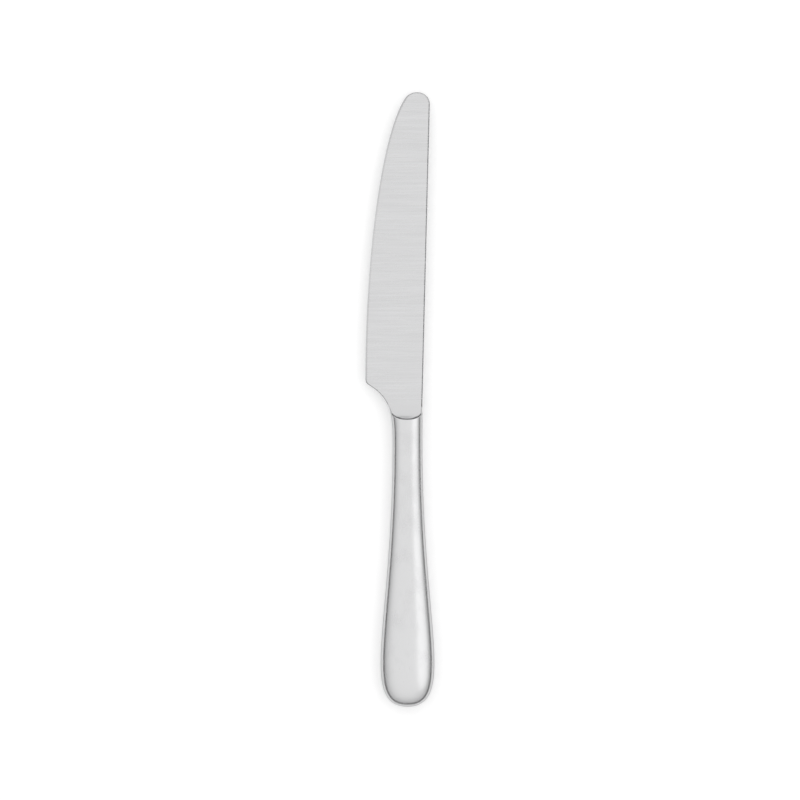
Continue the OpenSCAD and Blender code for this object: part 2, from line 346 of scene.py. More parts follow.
# %% [markdown]
# ## From a flat grid to a closed piece
#
# Each piece of the handle starts as a flat grid of points. The columns go once round the piece's
# own section and the last column meets the first again. The rows go along it, and at an end the
# rows close to a line. Set Position moves every point to where the rule puts it, and Merge by
# Distance joins what has come together, which gives a closed skin without any open seam.

# %% The grid and its columns and rows
def start_tree(name, columns, rows):
    tree = bpy.data.node_groups.new(name, "GeometryNodeTree")
    for size in SIZES:
        add_input(tree, size)
    add_input(tree, "Finish", "NodeSocketMaterial")
    tree.interface.new_socket("Geometry", in_out="OUTPUT", socket_type="NodeSocketGeometry")
    grid = tree.nodes.new("GeometryNodeMeshGrid")
    for socket, value in zip(grid.inputs, (1.0, 1.0, columns + 1, rows + 1)):
        socket.default_value = value
    place = tree.nodes.new("GeometryNodeInputPosition")
    split = tree.nodes.new("ShaderNodeSeparateXYZ")
    tree.links.new(place.outputs[0], split.inputs[0])
    column = ((Num(tree, split.outputs[0]) + 0.5) * columns).op("ROUND")
    row = ((Num(tree, split.outputs[1]) + 0.5) * rows).op("ROUND")
    return tree, grid, column, row


def pick(index, values):
    """One of several plain numbers, by a column's index."""
    node = index.tree.nodes.new("GeometryNodeIndexSwitch")
    node.data_type = "FLOAT"
    while len(node.index_switch_items) < len(values):
        node.index_switch_items.new()
    feed(index.tree, index, node.inputs[0])
    for socket, value in zip(node.inputs[1:], values):
        socket.default_value = value
    return Num(index.tree, node.outputs[0])


# %% The end of every tree
WELD, SLIVER = 1e-7, 1e-9


def finish_tree(tree, grid, places, up):
    """Put the grid's points where the rule says, above or below the seam, and close the skin."""
    sizes = given(tree)
    rule = tree.nodes.new("GeometryNodeGroup")
    rule.node_tree = handle_rule
    for name, value in zip([*PLACES, *SIZES], [*places, *(sizes[n] for n in SIZES)]):
        feed(tree, value, rule.inputs[name])
    split = tree.nodes.new("ShaderNodeSeparateXYZ")
    tree.links.new(rule.outputs[0], split.inputs[0])
    x, y, z = (Num(tree, s) for s in split.outputs)
    where = tree.nodes.new("ShaderNodeCombineXYZ")
    for socket, value in zip(where.inputs, (x + home.x, y + home.y, z * up + home.z)):
        feed(tree, value, socket)
    move = tree.nodes.new("GeometryNodeSetPosition")
    tree.links.new(grid.outputs[0], move.inputs["Geometry"])
    tree.links.new(where.outputs[0], move.inputs["Position"])
    merge = tree.nodes.new("GeometryNodeMergeByDistance")
    merge.inputs["Distance"].default_value = WELD
    real = tree.nodes.new("GeometryNodeRealizeInstances")
    dress = tree.nodes.new("GeometryNodeSetMaterial")
    end = tree.nodes.new("NodeGroupOutput")
    for a, b in ((move, merge), (merge, real), (real, dress)):
        tree.links.new(a.outputs[0], b.inputs[0])
    tree.links.new(sizes["Finish"].socket, dress.inputs["Material"])
    tree.links.new(dress.outputs[0], end.inputs["Geometry"])


# %% From a tree to a plain mesh
def add_object(name, data):
    thing = bpy.data.objects.new(name, data)
    bpy.context.scene.collection.objects.link(thing)
    return thing


def add_piece(name, mesh, finish, sharp_degrees=25):
    work = bmesh.new()
    work.from_mesh(mesh)
    bmesh.ops.remove_doubles(work, verts=work.verts, dist=WELD)
    bmesh.ops.dissolve_degenerate(work, edges=work.edges, dist=SLIVER)
    bmesh.ops.recalc_face_normals(work, faces=work.faces)
    open_edges = sum(len(e.link_faces) != 2 for e in work.edges)
    work.to_mesh(mesh)
    work.free()
    mesh.name = name
    mesh.materials.clear()
    mesh.materials.append(finish)
    mesh.shade_smooth()
    mesh.set_sharp_from_angle(angle=math.radians(sharp_degrees))
    print(name, "faces:", len(mesh.polygons), "open edges:", open_edges)
    return add_object(name, mesh)


def bake_piece(name, tree, finish):
    holder = add_object(name + "_nodes", bpy.data.meshes.new(name + "_nodes"))
    modifier = holder.modifiers.new("shape", "NODES")
    modifier.node_group = tree
    for socket in tree.interface.items_tree:
        if socket.in_out == "INPUT":
            value = finish if socket.name == "Finish" else SIZES[socket.name] * MM
            modifier[socket.identifier] = value
    graph = bpy.context.evaluated_depsgraph_get()
    mesh = bpy.data.meshes.new_from_object(holder.evaluated_get(graph))
    holder.modifiers.clear()
    bpy.data.objects.remove(holder)
    return add_piece(name, mesh, finish)


# %% [markdown]
# ## Finishes
#
# Steel has no pattern of its own: what the eye sees is how it was worked. The handle is buffed to a
# mirror, which leaves faint hairlines along its length and slow waves. The blade is ground from
# spine to edge and then glazed, so its lines run across. Both are metal with a pale colour, and
# only the lines, the waves and some handling marks change colour, roughness and bump.

# %% Node helpers for finishes
# Sockets of a Mix node that mixes colours.
MIX_LOW, MIX_HIGH, MIX_RESULT = 6, 7, 2


class Finish:
    """A material on Object coordinates, with the few nodes that all the finishes need."""

    def __init__(self, name, metallic=0.0):
        self.material = bpy.data.materials.new(name)
        self.material.use_nodes = True
        self.tree = self.material.node_tree
        self.shader = self.tree.nodes["Principled BSDF"]
        self.shader.inputs["Metallic"].default_value = metallic
        self.place = self.tree.nodes.new("ShaderNodeTexCoord").outputs["Object"]

    def noise(self, stretch, detail=4.0, roughness=0.55):
        """Noise with so many waves a metre along x, y and z."""
        scale = self.tree.nodes.new("ShaderNodeMapping")
        scale.inputs["Scale"].default_value = stretch
        self.tree.links.new(self.place, scale.inputs["Vector"])
        node = self.tree.nodes.new("ShaderNodeTexNoise")
        for name, value in (("Scale", 1.0), ("Detail", detail), ("Roughness", roughness)):
            node.inputs[name].default_value = value
        self.tree.links.new(scale.outputs[0], node.inputs["Vector"])
        return Num(self.tree, node.outputs["Fac"])

    def spread(self, value, low, high, to_low=0.0, to_high=1.0):
        node = self.tree.nodes.new("ShaderNodeMapRange")
        for socket, number in zip(node.inputs, (value, low, high, to_low, to_high)):
            feed(self.tree, number, socket)
        return Num(self.tree, node.outputs[0])

    def colour(self, share, low, high):
        node = self.tree.nodes.new("ShaderNodeMix")
        node.data_type = "RGBA"
        feed(self.tree, share, node.inputs["Factor"])
        for index, shade in ((MIX_LOW, low), (MIX_HIGH, high)):
            node.inputs[index].default_value = (*shade, 1)
        return node.outputs[MIX_RESULT]

    def bump(self, height, strength, distance, below=None):
        node = self.tree.nodes.new("ShaderNodeBump")
        for name, value in (("Strength", strength), ("Distance", distance), ("Height", height)):
            feed(self.tree, value, node.inputs[name])
        if below is not None:
            self.tree.links.new(below, node.inputs["Normal"])
        return node.outputs[0]

    def attribute(self, name):
        node = self.tree.nodes.new("ShaderNodeAttribute")
        node.attribute_name = name
        return Num(self.tree, node.outputs["Fac"])

    def done(self, colour, roughness, normal):
        self.tree.links.new(colour, self.shader.inputs["Base Color"])
        feed(self.tree, roughness, self.shader.inputs["Roughness"])
        self.tree.links.new(normal, self.shader.inputs["Normal"])
        print("finish:", self.material.name)
        return self.material


# %% Buffed steel of the handle
def make_buffed_steel():
    clean, handled = (0.64, 0.64, 0.645), (0.59, 0.59, 0.595)
    wave_depth, line_depth = 0.4 * MM, 0.004 * MM
    finish = Finish("buffed_steel", metallic=1.0)
    hairlines = finish.noise((5200, 90, 5200), detail=3.0)
    waves = finish.noise((60, 22, 60), detail=2.0)
    marks = finish.noise((130, 90, 130), detail=5.0, roughness=0.62)
    touch = finish.spread(marks, 0.48, 0.72)
    lines = finish.spread(hairlines, 0.56, 0.74)
    colour = finish.colour(touch * 0.8, clean, handled)
    roughness = finish.spread(touch, 0.0, 1.0, 0.24, 0.3) + lines * 0.04
    normal = finish.bump(waves, 0.07, wave_depth)
    normal = finish.bump(lines, 0.04, line_depth, below=normal)
    finish.shader.inputs["Specular Tint"].default_value = (0.5, 0.5, 0.5, 1)
    return finish.done(colour, roughness, normal)


buffed_steel = make_buffed_steel()


# %% Ground and glazed steel of the blade
def make_ground_steel():
    dark, light = (0.56, 0.56, 0.565), (0.66, 0.66, 0.665)
    broad_depth, line_depth = 0.06 * MM, 0.006 * MM
    finish = Finish("ground_steel", metallic=1.0)
    glaze = finish.noise((70, 2600, 70), detail=4.0)
    broad = finish.noise((18, 260, 18), detail=3.0)
    marks = finish.noise((95, 95, 95), detail=5.0, roughness=0.6)
    touch = finish.spread(marks, 0.5, 0.75)
    honed, buffed = finish.attribute("honed"), finish.attribute("buffed")
    ground = 1.0 - buffed * 0.8
    lines = finish.spread(glaze, 0.35, 0.7) * ground
    colour = finish.colour(lines * 0.5 + broad * 0.5, dark, light)
    satin = finish.spread(ground, 0.0, 1.0, 0.17, 0.24)
    roughness = satin + lines * 0.08 + touch * 0.06 + honed * 0.1
    normal = finish.bump(broad, 0.06, broad_depth)
    normal = finish.bump(lines, 0.16, line_depth, below=normal)
    return finish.done(colour, roughness, normal)


ground_steel = make_ground_steel()


# %% Braze, solder and cement
def make_dull_metal(name, low, high, rough):
    finish = Finish(name, metallic=1.0)
    pit_depth, more_rough = -0.01 * MM, 0.15
    mottle = finish.noise((900, 900, 900), detail=4.0)
    pits = finish.spread(finish.noise((3000, 3000, 3000), detail=2.0), 0.55, 0.7)
    colour = finish.colour(finish.spread(mottle, 0.35, 0.65), low, high)
    roughness = finish.spread(mottle, 0.3, 0.7, rough, rough + more_rough)
    return finish.done(colour, roughness, finish.bump(pits, 0.3, pit_depth))


def make_filler():
    brown, chalky = (0.46, 0.41, 0.35), (0.68, 0.63, 0.56)
    grain_depth = 0.08 * MM
    finish = Finish("handle_filler")
    grains = finish.noise((1400, 1400, 1400), detail=6.0, roughness=0.7)
    clouds = finish.noise((160, 160, 160), detail=3.0)
    shade = grains * 0.6 + clouds * 0.4
    colour = finish.colour(finish.spread(shade, 0.35, 0.65), brown, chalky)
    roughness = finish.spread(grains, 0.3, 0.7, 0.8, 0.95)
    return finish.done(colour, roughness, finish.bump(grains, 0.6, grain_depth))


silver_braze = make_dull_metal("silver_braze", (0.55, 0.51, 0.42), (0.7, 0.66, 0.56), 0.28)
soft_solder = make_dull_metal("soft_solder", (0.16, 0.16, 0.165), (0.27, 0.27, 0.275), 0.4)
handle_filler = make_filler()

# %% [markdown]
# ## The two halves of the handle
#
# Each half is pressed from sheet, so it has an outer and an inner skin, a flat rim on the seam and
# a mouth. The columns of its grid go over the outer skin from the spine's side to the edge side and
# back under the inner skin. The last rows of the outer skin turn in by a small radius, because
# buffing rounds that corner, and the last rows of the inner skin come out over the mouth to meet
# them. At the ends of the U the wall runs out to a thin horn. The mouth is the back wall of the
# narrow groove that shows the joint as a line.

# %% Rows along the handle and columns round it
STRETCHES = {"butt": 36, "waist": 84, "mouth": 18, "lip": 9}
HALF_ROWS = sum(STRETCHES.values())
ARC = 64
ROUND = 2 * ARC + 2


def shares_along(row):
    """How far a row has come through each stretch of the handle, from 0 to 1."""
    parts, start = [], 0
    for count in STRETCHES.values():
        parts.append(((row - start) / count).clamp())
        start += count
    return parts


def over_and_under(index):
    """Angle of a place that goes over the section and back under it, and 1 where it is under."""
    back = index.op("GREATER_THAN", ROUND - 0.5)
    under = index.op("GREATER_THAN", ARC + 0.5) * (1.0 - back)
    over = index * (1.0 - back)
    angle = (over + under * (ROUND - 1 - index - over)) * (math.pi / ARC)
    return angle, under


print("rows along a half:", HALF_ROWS, "and columns round it:", ROUND)

# %% Tree of a half
wall = 0.8
lip = 0.15
horn_share = 0.62


def horn_of(angle):
    """How far the outer skin reaches past the inner one at the mouth: most at the U's ends."""
    side = angle.op("COSINE").op("ABSOLUTE") ** bend
    outer, inner = (
        (1.0 - ((1.0 - depth / neck_half) * side) ** section_power).op("MAXIMUM", 0.0).op("SQRT")
        for depth in (0.0, wall))
    return (inner - outer) * (joint_depth * MM)


def make_half(name, up):
    tree, grid, column, row = start_tree(name, ROUND, HALF_ROWS)
    butt, waist, mouth, rolled = shares_along(row)
    angle, under = over_and_under(column)
    turn, left = rolled * (math.pi / 2), 1.0 - rolled
    soft = angle.op("SINE").op("ABSOLUTE") * (lip * MM)
    skin = (1.0 - turn.op("COSINE")) * soft
    inset = skin + under * (soft + (wall * MM - soft) * left * left - skin)
    back_off = (1.0 - turn.op("SINE")) * soft + horn_of(angle) * left * horn_share
    off = (1.0 - under) * back_off + joint_gap * MM
    finish_tree(tree, grid, (butt, waist, mouth, angle, inset, off), up)
    return tree


upper_half = bake_piece("upper_half", make_half("upper_half_tree", 1.0), buffed_steel)
lower_half = bake_piece("lower_half", make_half("lower_half_tree", -1.0), buffed_steel)
for piece, node in ((upper_half, "upper_handle_shell"), (lower_half, "lower_handle_shell")):
    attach(piece, "root")
    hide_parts(node)

# %% [markdown]
# ## The brazed seam
#
# A ribbon of silver braze joins the rims. It starts at the mouth on the spine's side, goes round
# the butt and comes back on the other side. The same rule gives its path: the angle is zero on one
# side and half a turn on the other. It lies a hair below the skins, where the buffing wheel left
# it.

# %% Tree of the seam
seam_recess = 0.02
# Corners round the ribbon: on the inner skin or the outer one, above or below.
SEAM_INNER = [0.0, 1.0, 1.0, 0.0, 0.0]
SEAM_UP = [1.0, 1.0, -1.0, -1.0, 1.0]


def make_seam():
    tree, grid, column, row = start_tree("seam_tree", len(SEAM_UP) - 1, 2 * HALF_ROWS)
    along = row - HALF_ROWS
    butt, waist, mouth, rolled = shares_along(along.op("ABSOLUTE"))
    left = 1.0 - rolled
    angle = along.op("GREATER_THAN", 0.0) * math.pi
    inner = pick(column, SEAM_INNER)
    inset = inner * left * left * ((wall - seam_recess) * MM) + seam_recess * MM
    off = (1.0 - inner) * horn_of(angle) * left * horn_share + joint_gap * MM
    finish_tree(tree, grid, (butt, waist, mouth, angle, inset, off), pick(column, SEAM_UP))
    return tree


seam = bake_piece("seam_ribbon", make_seam(), silver_braze)
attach(seam, "root")
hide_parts("seam_braze")

# %% [markdown]
# ## The soldered joint
#
# Solder fills the thin gap between the handle's mouth and the bolster, and runs on round the spigot
# inside. Cut across, it is an L. The columns of this grid go round the L and the rows go round the
# handle. Where it shows, it lies at the foot of the groove between the mouth and the bevelled rim
# of the bolster, and is dull and dark.

# %% Tree of the joint
solder_sleeve = 0.15
spigot_inset = wall + solder_sleeve
# Points round the L: share of the way from neck to joint, depth below the skin, gap to the bolster.
SOLDER_SHARES = [1.0, 1.0, 1.0, 2 / 3, 1 / 3, 0.0, 0.0, 1 / 3, 2 / 3, 1.0, 1.0]
SOLDER_DEPTHS = [groove_deep] * 2 + [spigot_inset] * 4 + [wall] * 4 + [groove_deep]
SOLDER_GAPS = [joint_gap] + [0.0] * 6 + [joint_gap] * 4


def make_joint():
    tree, grid, column, row = start_tree("joint_tree", len(SOLDER_SHARES) - 1, ROUND)
    angle, under = over_and_under(row)
    inset, off = (pick(column, [v * MM for v in a]) for a in (SOLDER_DEPTHS, SOLDER_GAPS))
    places = (1.0, 1.0, pick(column, SOLDER_SHARES), angle, inset, off)
    finish_tree(tree, grid, places, 1.0 - 2.0 * under)
    return tree


joint = bake_piece("joint_solder", make_joint(), soft_solder)
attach(joint, "root")
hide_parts("mouth_solder")

# %% [markdown]
# ## The forging: blade, bolster, spigot and tang
#
# The forging is one piece of steel, so it is one closed skin. Its edges are worked at an even width
# along the outline, so each side of the outline is kept as points with the way inwards from each.
# Distances from a side then say where the chamfers of spine and choil and the ground bevel end.

# %% Two sides of the outline
class OutlineSide:
    """One side of the outline: close points, the length run so far, and the way inwards."""

    def __init__(self, line, sign, step=0.1):
        run = np.concatenate([[0], np.cumsum(np.linalg.norm(np.diff(line, axis=0), axis=1))])
        self.run = np.linspace(0, run[-1], int(run[-1] / step) + 1)
        self.points = np.stack([np.interp(self.run, run, line[:, i]) for i in (0, 1)], 1)
        way = np.gradient(self.points, axis=0)
        way /= np.linalg.norm(way, axis=1)[:, None]
        self.inward = sign * np.stack([way[:, 1], -way[:, 0]], 1)
        self.inward[-1] = (0, -1)

    def at(self, run):
        point, way = (np.array([np.interp(run, self.run, a[:, i]) for i in (0, 1)])
                      for a in (self.points, self.inward))
        return point, way / np.linalg.norm(way)

    def run_at(self, s):
        return np.interp(s, self.points[:, 1], self.run)

    def distance(self, x, s):
        """Distance of places from this side, and the run where each is nearest to it."""
        spot = np.stack([x, s], 1)
        near = np.argmin(((spot[:, None] - self.points[None]) ** 2).sum(2), 1)
        gap, run = np.full(len(x), np.inf), np.zeros(len(x))
        for first in (near - 1, near):
            first = np.clip(first, 0, len(self.points) - 2)
            start = self.points[first]
            leg = self.points[first + 1] - start
            share = np.clip(((spot - start) * leg).sum(1) / (leg * leg).sum(1), 0, 1)
            length = np.linalg.norm(spot - start - share[:, None] * leg, axis=1)
            here = self.run[first] + share * (self.run[1] - self.run[0])
            run = np.where(length < gap, here, run)
            gap = np.minimum(length, gap)
        return gap, run


edge = OutlineSide(edge_line, sign=1)
spine = OutlineSide(spine_line, sign=-1)
print("length in mm of the edge side:", round(edge.run[-1], 1), "of the spine:",
      round(spine.run[-1], 1))

# %% [markdown]
# ## Heights of the forging
#
# Seen from above, every point of the forging has one height. It is the higher of two surfaces: the
# hollow that runs down from the bolster's rim, and the blade, whose flat sides lean together
# towards the cutting edge and the tip. The blade is chamfered along its spine and choil and ground
# to a bevel along the cutting edge, which starts in the heel and fades in the nose. The hollow ends
# on the chamfered blade with no step, so the chamfers can be followed right up to the bolster.

# %% Flat sides and widths along the edge
spine_half, edge_half, tip_half = 1.1, 0.4, 0.75
bevel_width = 0.6
spine_chamfer, choil_chamfer = 0.4, 0.24
grind = (spine_half - edge_half) / (neck_half - heel_x)
taper = (spine_half - tip_half) / (overall - joint_at)


def ease(a, b, value):
    t = np.clip((value - a) / (b - a), 0, 1)
    return t * t * (3 - 2 * t)


def flank(x, s):
    return spine_half - grind * (neck_half - x) - taper * (s - joint_at)


heel_run = edge.run_at(heel_start[1])
keen_from, keen_full = heel_run + 0.6, heel_run + 4.5
dull_from, dull_full = edge.run_at(nose_start[1]) - 1.0, edge.run[-1] - 0.3


def keenness(run):
    return ease(keen_from, keen_full, run) * (1 - ease(dull_from, dull_full, run))


def blunt_width(run):
    return choil_chamfer + ease(dull_from, dull_full, run) * (spine_chamfer - choil_chamfer)


def edge_width(run):
    return blunt_width(run) + keenness(run) * (bevel_width - blunt_width(run))


print("half thickness at the spine and behind the edge:", spine_half, edge_half, "mm")

# %% Height of the blade
edge_flat = 0.1
chamfer_share, chamfer_round = 0.6, 0.2


def chamfer(share, width, flat):
    """Depth of a chamfer at a share of its width: a flat facet with a softened outer corner."""
    facet = (1 - chamfer_round) * share + chamfer_round * (1 - np.sqrt(1 - share**2))
    return np.minimum(width, chamfer_share * flat) * facet


def blade_height(x, s):
    """Half thickness of the blade with its chamfered spine and choil and ground cutting edge."""
    flat = flank(x, s)
    from_spine = np.clip(1 - spine.distance(x, s)[0] / spine_chamfer, 0, 1)
    gap, run = edge.distance(x, s)
    from_edge = np.clip(1 - gap / edge_width(run), 0, 1)
    blunt, ground = chamfer(from_edge, blunt_width(run), flat), from_edge * (flat - edge_flat)
    edge_off = blunt + keenness(run) * (ground - blunt)
    return flat - np.maximum(chamfer(from_spine, spine_chamfer, flat), edge_off)


beside_heel = blade_height(np.zeros(1), np.array([heel_end]))
print("half thickness on the axis beside the heel:", beside_heel.round(2), "mm")

# %% Height of bolster and blade together
rim_width, rim_round = 0.5, 0.22
hollow_radius = 8.5
plate_tuck, plate_rise, plate_blend = 0.15, 0.35, 0.25
crease, crease_from, crease_to = 0.1, 0.6, 2.4
LEAST_WIDTH, LEAST_CORNER, LEAST_CREASE = 1e-6, 1e-3, 1e-4


def joint_line(share, inset=0.0):
    across = (1 - inset / neck_half) * np.abs(share)
    return joint_at + joint_depth * (1 - np.sqrt(np.clip(1 - across**section_power, 0, None)))


def soft_min(a, b, width):
    """The lower of two heights, rounded where they come closer than a width."""
    return np.minimum(a, b) - np.clip(width - np.abs(a - b), 0, None) ** 2 / (4 * width)


def height(x, s):
    """Height of the forging in front of the joint: rim, hollow and blade."""
    low, high = edge_side(s), spine_side(s)
    share = np.clip((2 * x - low - high) / np.maximum(high - low, LEAST_WIDTH), -1, 1)
    ahead = s - joint_line(share)
    dome = np.clip(1 - np.abs(share) ** section_power, 0, None) ** (1 / section_power)
    top = seam_half + neck_deep * dome
    plate = blade_height(x, s)
    steep = np.arccos(1 - np.clip(top - plate, 0, None) / hollow_radius)
    run = ahead - rim_width
    sine = np.clip(np.sin(steep) - np.clip(run, 0, None) / hollow_radius, 0, 1)
    hollow = plate + hollow_radius * (1 - np.sqrt(1 - sine**2))
    slope = hollow - np.tan(steep) * np.clip(run, None, 0)
    corner = np.maximum(4 * rim_round * (1 / np.cos(steep / 2) - 1), LEAST_CORNER)
    bolster = soft_min(top, slope, corner)
    lid = top - plate_tuck + plate_rise * np.clip(ahead, 0, None) ** 2
    blade = soft_min(plate, lid, plate_blend)
    fold = np.maximum(crease * (1 - ease(crease_from, crease_to, ahead)), LEAST_CREASE)
    return -soft_min(-bolster, -blade, fold)


print("bolster's rim in mm:", rim_width, "and radius of its hollow:", hollow_radius)

# %% [markdown]
# ## Rings of the forging
#
# Rings of points run from the back of the spigot to the tip. On the bolster they follow the
# U-shaped joint, then they straighten out along the choil, and on the blade they lie square to it.
# Ten columns stay in the worked band of each side, so the line where the bevel ends is a row of
# edges. At the nose the rings fold round the end of the outline until their two halves meet.

# %% Columns of a ring
HALF_COLUMNS, BAND = 88, 10
LEAST_LEAN = 0.3
angles = np.linspace(0, np.pi, HALF_COLUMNS + 1)
round_share = np.sign(np.cos(angles)) * np.abs(np.cos(angles)) ** bend
band_share = 1 - np.cos(np.linspace(0, np.pi / 2, BAND + 1))


def columns(first, first_width, last, last_width):
    """Even steps between two places, with a band of closer steps at each end."""
    start = first + band_share[:, None] * first_width
    stop = last + band_share[:, None] * last_width
    middle = np.linspace(start[-1], stop[-1], HALF_COLUMNS - 2 * BAND + 1)[1:-1]
    return np.concatenate([start, middle, stop[::-1]])


def level_places(s):
    """Columns straight across the blade at a station."""
    run = edge.run_at(s)
    wide = edge_width(run) / max(LEAST_LEAN, edge.at(run)[1][0])
    low, high = np.array([edge_side(s)]), np.array([spine_side(s)])
    return columns(high, np.array([-spine_chamfer]), low, np.array([wide]))[:, 0]


def with_height(x, s):
    return np.stack([x, s, height(x, s)], 1)


print("points a ring:", 2 * len(angles))

# %% Kinds of rings
level_from, level_to = 0.5, 2.4


def inner_ring(share, inset, off=0.0):
    """Ring between the neck, share 0, and the joint, share 1, at a depth below the skin."""
    s = neck_at + share * (joint_line(round_share, inset) + off - neck_at)
    low, high = edge_side(s), spine_side(s)
    x = (low + high) / 2 + (high - low) / 2 * (1 - inset / neck_half) * round_share
    z = seam_half + (neck_deep - inset) * np.abs(np.sin(angles)) ** bend
    return np.stack([x, s, z], 1)


def bolster_ring(ahead):
    """Ring ahead of the joint, which turns from the handle's section to the blade's columns."""
    s = joint_line(round_share) + ahead
    low, high = edge_side(s), spine_side(s)
    x = (low + high) / 2 + (high - low) / 2 * round_share
    flat = np.array([level_places(v)[k] for k, v in enumerate(s)])
    return with_height(x + ease(level_from, level_to, ahead) * (flat - x), s)


def choil_ring(share, first, last):
    """Ring that straightens out between the bolster's last ring and a station of the blade."""
    s = first[:, 1] + share * (last - first[:, 1])
    return with_height(np.array([level_places(v)[k] for k, v in enumerate(s)]), s)


def blade_ring(edge_run, spine_run):
    """Ring between a place on the edge side and one on the spine."""
    low, edge_way = edge.at(edge_run)
    high, spine_way = spine.at(spine_run)
    plan = columns(high, spine_chamfer * spine_way, low, edge_width(edge_run) * edge_way)
    return with_height(plan[:, 0], plan[:, 1])


# %% Rings of spigot, groove and bolster
SPIGOT_RINGS, GROOVE_RINGS, RIM_RINGS, HOLLOW_RINGS = 5, 9, 12, 44
groove_power = 1.3
rim_end, hollow_from, hollow_to = rim_width + 0.3, rim_width + 0.4, 7.0

groove_turn = np.linspace(0, math.pi / 2, GROOVE_RINGS)
groove_rise = np.sin(groove_turn) ** (2 / groove_power)
groove_run = 1 - np.cos(groove_turn) ** (2 / groove_power)
front_places = np.concatenate([
    np.linspace(groove_wide, rim_end, RIM_RINGS + 1)[1:],
    np.linspace(hollow_from, hollow_to, HOLLOW_RINGS)])

rings = [inner_ring(v, spigot_inset) for v in np.linspace(0, 1, SPIGOT_RINGS)]
for up, on in zip(groove_rise, groove_run):
    rings.append(inner_ring(1, groove_deep * (1 - up), groove_wide * on))
rings += [bolster_ring(v) for v in front_places]
print("rings up to the hollow's end:", len(rings))

# %% Rings of choil, belly and nose
CHOIL_RINGS, BELLY_RINGS, NOSE_RINGS = 80, 120, 60
square_at = heel_end + 2.5
nose_from = nose_start[1] - 3

bolster_end = rings[-1]
for share in np.linspace(0, 1, CHOIL_RINGS + 1)[1:]:
    rings.append(choil_ring(share, bolster_end, square_at))
for s in np.linspace(square_at, nose_from, BELLY_RINGS + 1)[1:]:
    rings.append(blade_ring(edge.run_at(s), spine.run_at(s)))
edge_runs, spine_runs = (
    np.linspace(side.run_at(nose_from), side.run[-1], NOSE_RINGS + 1)[1:] for side in (edge, spine))
rings += [blade_ring(a, b) for a, b in zip(edge_runs, spine_runs)]
print("rings up to the tip:", len(rings))

# %% [markdown]
# ## Skinning the rings
#
# The lower half of every ring mirrors the upper one, and quads join each ring to the next. The last
# ring is folded flat, so merging its doubles closes the tip. The back of the spigot has the tang in
# it, so that face is filled round the tang's section. The tang is a flat bar with round notches,
# which key it into the cement and stop the handle from turning.

# %% Outline of the tang
tang_half = np.array([3.2, 2.2])
tang_deep = 1.3
tang_corner = 1.2
notch_radius, notch_steps = 0.8, 12
notch_shares = np.linspace(0.25, 0.85, 3)
tang_length = neck_at - tang_end
tang_slope = (tang_half[0] - tang_half[1]) / (tang_length - tang_corner)


def tang_side(sign):
    """One side of the tang from the spigot to its end, with the notches cut into it."""
    points = [(tang_half[0], neck_at)]
    for share in notch_shares:
        middle = neck_at - share * tang_length
        out = tang_half[0] + (tang_half[1] - tang_half[0]) * share
        for a in np.linspace(0, math.pi, notch_steps + 1):
            s = middle + notch_radius * math.cos(a)
            edge_x = tang_half[0] - tang_slope * (neck_at - s)
            points.append((min(edge_x, out - notch_radius * math.sin(a)), s))
    points += [(tang_half[1], tang_end + tang_corner), (tang_half[1] - tang_corner, tang_end)]
    return [(sign * x, s) for x, s in points]


tang_line = tang_side(1) + tang_side(-1)[::-1]
print("points of the tang's outline:", len(tang_line))

# %% Mesh of the forging
def skin_rings():
    points, faces, count = [], [], 2 * len(angles)
    for ring in rings:
        points += [tuple(p) for p in ring] + [(x, s, -z) for x, s, z in ring[::-1]]
    for first in range(0, (len(rings) - 1) * count, count):
        for i in range(count):
            j = (i + 1) % count
            faces.append((first + i, first + j, first + count + j, first + count + i))
    return points, faces


def add_tang(points, faces):
    """The bar of the tang, and the spigot's back face round its open end."""
    bar, size = len(points), len(tang_line)
    points += [(x, s, z) for z in (tang_deep, -tang_deep) for x, s in tang_line]
    for i in range(bar, bar + size - 1):
        faces.append((i, i + 1, i + size + 1, i + size))
    for face in tessellate_polygon([[Vector((x, s, 0)) for x, s in tang_line]]):
        faces += [tuple(start + i for i in face) for start in (bar, bar + size)]
    back = list(range(2 * len(angles)))
    hole = [bar, bar + size - 1, bar + 2 * size - 1, bar + size]
    flat = [[Vector((points[i][0], points[i][2], 0)) for i in loop] for loop in (back, hole)]
    names = back + hole
    faces += [tuple(names[i] for i in face) for face in tessellate_polygon(flat)]


def skin_forging():
    points, faces = skin_rings()
    add_tang(points, faces)
    mesh = bpy.data.meshes.new("forging")
    mesh.from_pydata([Vector(p) * MM + home for p in points], [], faces)
    return mesh


forging = add_piece("blade_forging", skin_forging(), ground_steel, sharp_degrees=11)

# %% Where the forging is honed and where it is buffed
honed_fade = 4
buffed_from, buffed_to = joint_at + 4.5, joint_at + 8.0

stations = np.array([(v.co - home) / MM for v in forging.data.vertices])
gap, run = edge.distance(stations[:, 0], stations[:, 1])
masks = {
    "honed": np.clip(honed_fade - honed_fade * gap / bevel_width, 0, 1) * keenness(run),
    "buffed": 1 - ease(buffed_from, buffed_to, stations[:, 1]),
}
for name, values in masks.items():
    mask = forging.data.attributes.new(name, "FLOAT", "POINT")
    mask.data.foreach_set("value", values.astype(np.float32))
    print(name, "points:", int((values > 0).sum()))
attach(forging, "root")
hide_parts("blade")

# %% [markdown]
# ## The cement in the handle
#
# The cement is poured round the tang and never seen, so its solid stays as it is. It still gets the
# grainy, chalky finish that a handle shows when it is opened.

# %% Finish of the cement
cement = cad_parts["tang_cement"]
cement.data.materials.clear()
cement.data.materials.append(handle_filler)
print("cement keeps its solid, with", handle_filler.name)

